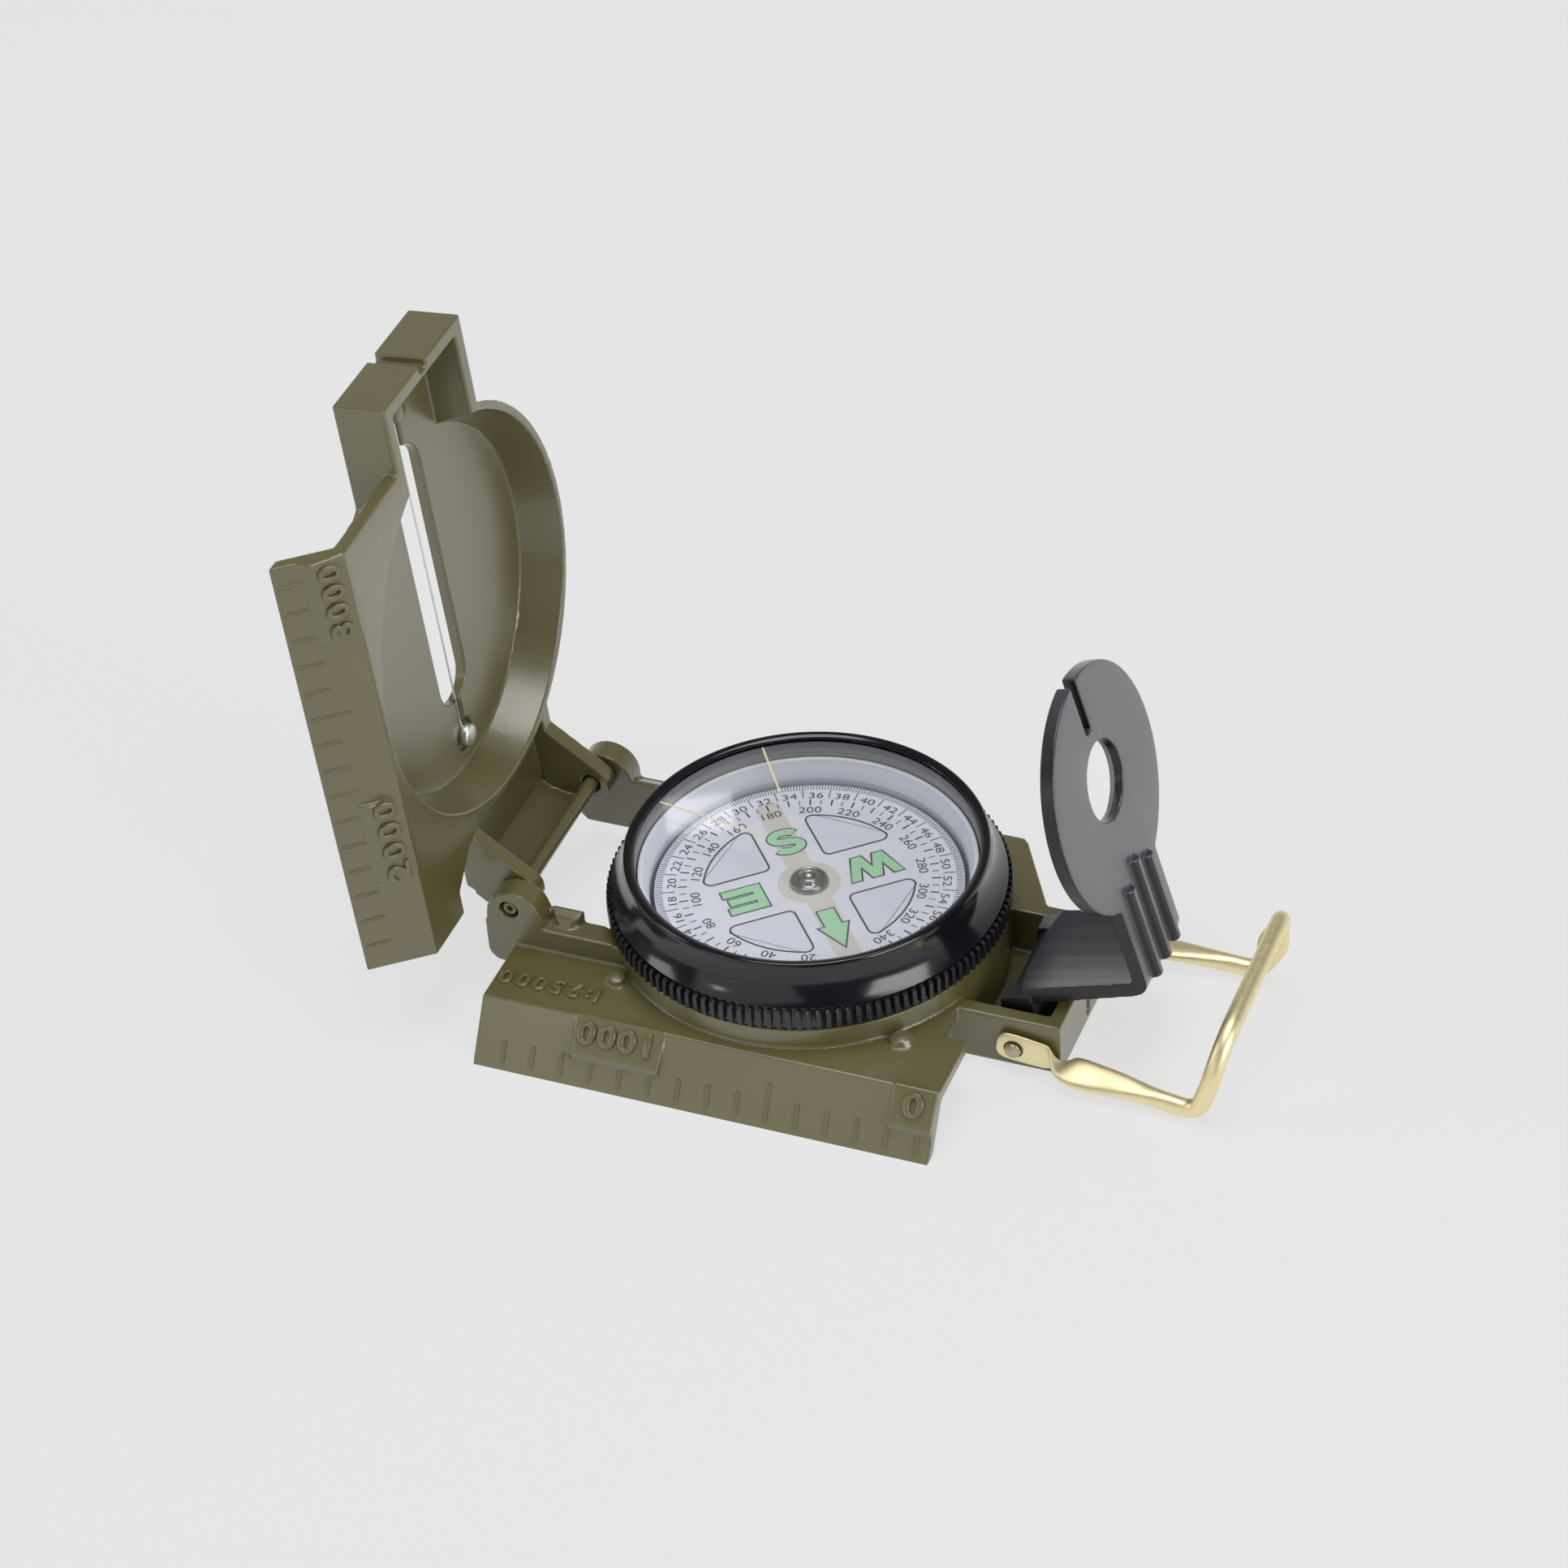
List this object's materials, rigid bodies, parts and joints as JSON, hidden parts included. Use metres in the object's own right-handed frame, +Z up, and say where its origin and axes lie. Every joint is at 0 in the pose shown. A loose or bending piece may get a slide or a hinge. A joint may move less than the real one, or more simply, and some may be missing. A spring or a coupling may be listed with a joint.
{
  "type": "lensatic compass",
  "caption": "Folding pocket compass with a hinged slotted lid, turning bezel over a floating dial card, fold-down lens bracket, bevelled map ruler and wire thumb loop.",
  "frame": {"origin": "on the table under the dial axis, at the middle of the flat underside", "axes": "+X from the lid hinge to the lens, +Y away from the ruler edge, +Z up along the dial axis"},
  "size_m": [0.1137, 0.0589, 0.0846],
  "materials": {
    "olive_paint": "satin olive paint on a metal casting",
    "steel": "bright",
    "magnet_steel": "dull",
    "brass": "bright drawn wire",
    "white_plastic": "matt white",
    "black_plastic": "glossy black",
    "grey_plastic": "satin dark grey",
    "clear_window": "clear"
  },
  "bodies": {
    "base": {"base_body": "olive_paint", "bottom_cover": "olive_paint", "base_screw_1": "steel", "base_screw_2": "steel", "base_screw_3": "steel", "hinge_pin": "olive_paint", "lens_pin": "brass", "capsule_bowl": "white_plastic", "capsule_window": "clear_window", "pivot_post": "steel", "snap_ring": "steel"},
    "lid": {"lid_shell": "olive_paint", "sighting_wire": "steel", "wire_peg_lower": "steel", "wire_peg_upper": "steel"},
    "bezel": {"bezel_ring": "black_plastic", "bezel_glass": "clear_window"},
    "card": {"card_disc": "white_plastic", "magnet_bar": "magnet_steel", "jewel_cap": "steel"},
    "bracket": {"lens_bracket": "grey_plastic", "lens": "clear_window"},
    "loop": {"thumb_loop": "brass"}
  },
  "joints": [
    {"name": "lid_hinge", "type": "hinge", "parent": "base", "child": "lid", "pos_m": [-0.03505, 0, 0.01315], "axis": [0, -1, 0], "range_deg": [-95, 85]},
    {"name": "bezel_turn", "type": "hinge", "parent": "base", "child": "bezel", "pos_m": [0, 0, 0.0109], "axis": [0, 0, 1], "continuous": true},
    {"name": "card_turn", "type": "hinge", "parent": "base", "child": "card", "pos_m": [0, 0, 0.013], "axis": [0, 0, 1], "continuous": true},
    {"name": "lens_fold", "type": "hinge", "parent": "base", "child": "bracket", "pos_m": [0.03165, 0, 0.0037], "axis": [0, -1, 0], "range_deg": [-12, 74.3]},
    {"name": "loop_swing", "type": "hinge", "parent": "base", "child": "loop", "pos_m": [0.03165, 0, 0.0037], "axis": [0, -1, 0], "range_deg": [-60, 22]}
  ]
}
